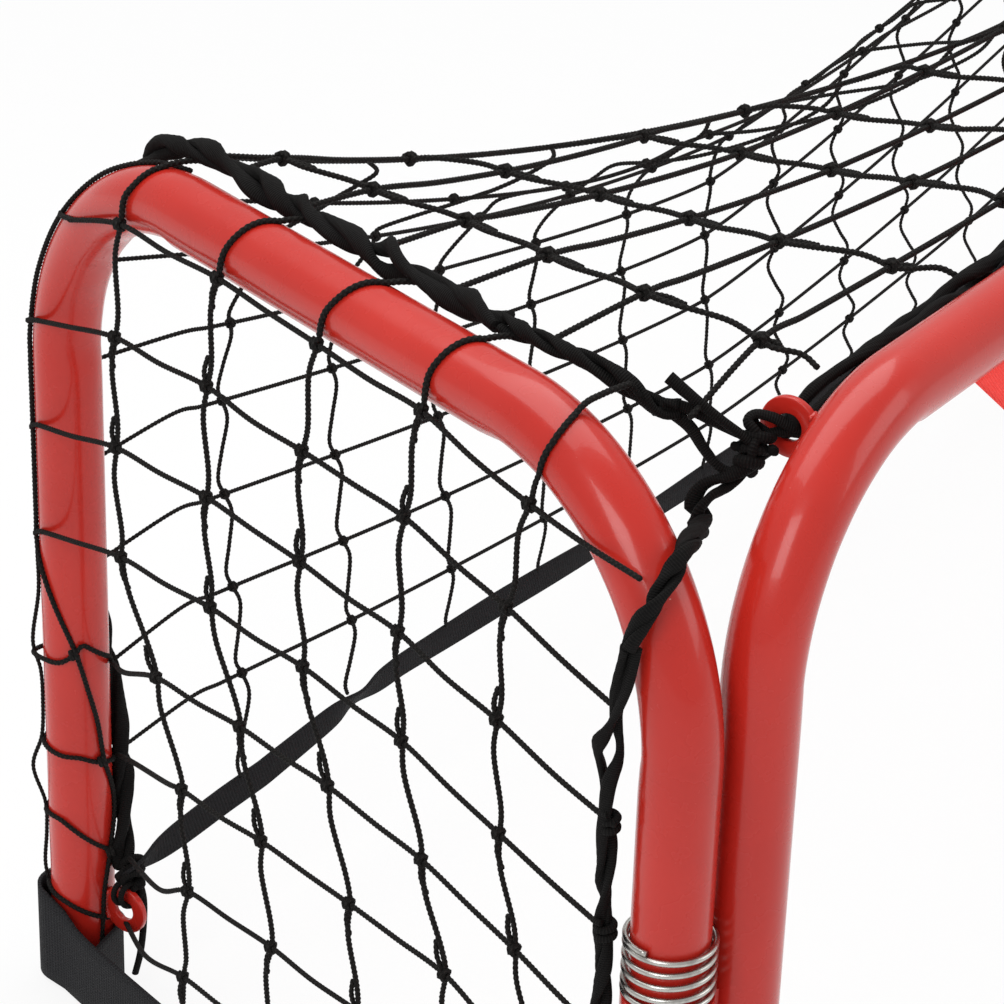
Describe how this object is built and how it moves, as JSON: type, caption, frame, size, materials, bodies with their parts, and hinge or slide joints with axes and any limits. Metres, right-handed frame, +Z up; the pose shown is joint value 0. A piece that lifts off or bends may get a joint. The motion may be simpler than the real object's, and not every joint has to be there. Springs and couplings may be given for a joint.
{
  "type": "hockey goal net",
  "caption": "Folding steel street-hockey goal: tubular front frame, spring-hinged side frames, rope-bound netting, webbing ground strap and header banner.",
  "frame": {"origin": "on the ground, under the centre of the goal's bounding box", "axes": "+X along the crossbar to the right seen from the shooter, +Y from the mouth to the back, +Z up"},
  "size_m": [1.0882, 0.3707, 0.3753],
  "materials": {
    "red_paint": "gloss powder coat",
    "spring_steel": "bright plated wire",
    "black_plastic": "matt moulded",
    "net_cord": "braided polyester cord",
    "rope_cord": "twisted pair of woven cords",
    "webbing": "woven polyester webbing",
    "red_cloth": "woven polyester cloth"
  },
  "bodies": {
    "front": {"front_frame": "red_paint", "upper_sleeve_left": "red_paint", "upper_sleeve_right": "red_paint", "lower_sleeve_left": "red_paint", "lower_sleeve_right": "red_paint", "front_foot_left": "black_plastic", "front_foot_right": "black_plastic", "front_eyelet_left": "red_paint", "front_eyelet_right": "red_paint", "crossbar_rope": "rope_cord", "corner_rope_left": "rope_cord", "corner_rope_right": "rope_cord", "header_banner": "red_cloth", "banner_loops": "webbing", "top_net": "net_cord", "back_net": "net_cord", "rear_strap": "webbing", "hinge_spring_left": "spring_steel", "hinge_spring_right": "spring_steel"},
    "side_left": {"side_frame_left": "red_paint", "rear_foot_left": "black_plastic", "hinge_leg_plug_left": "black_plastic", "spring_pin_left": "spring_steel", "retaining_ring_left": "spring_steel", "rear_eyelet_left": "red_paint", "side_net_left": "net_cord", "border_rope_left": "rope_cord", "leg_rope_left": "rope_cord", "ground_band_left": "webbing"},
    "side_right": {"side_frame_right": "red_paint", "rear_foot_right": "black_plastic", "hinge_leg_plug_right": "black_plastic", "spring_pin_right": "spring_steel", "retaining_ring_right": "spring_steel", "rear_eyelet_right": "red_paint", "side_net_right": "net_cord", "border_rope_right": "rope_cord", "leg_rope_right": "rope_cord", "ground_band_right": "webbing"}
  },
  "joints": [
    {"name": "side_left_fold", "type": "hinge", "parent": "front", "child": "side_left", "pos_m": [-0.52577, -0.16029, 0.1], "axis": [0, 0, -1], "range_deg": [0, 42], "deforming": ["top_net", "back_net", "rear_strap", "corner_rope_left"]},
    {"name": "side_right_fold", "type": "hinge", "parent": "front", "child": "side_right", "pos_m": [0.52577, -0.16029, 0.1], "axis": [0, 0, 1], "range_deg": [0, 42], "deforming": ["top_net", "back_net", "rear_strap", "corner_rope_right"]}
  ]
}
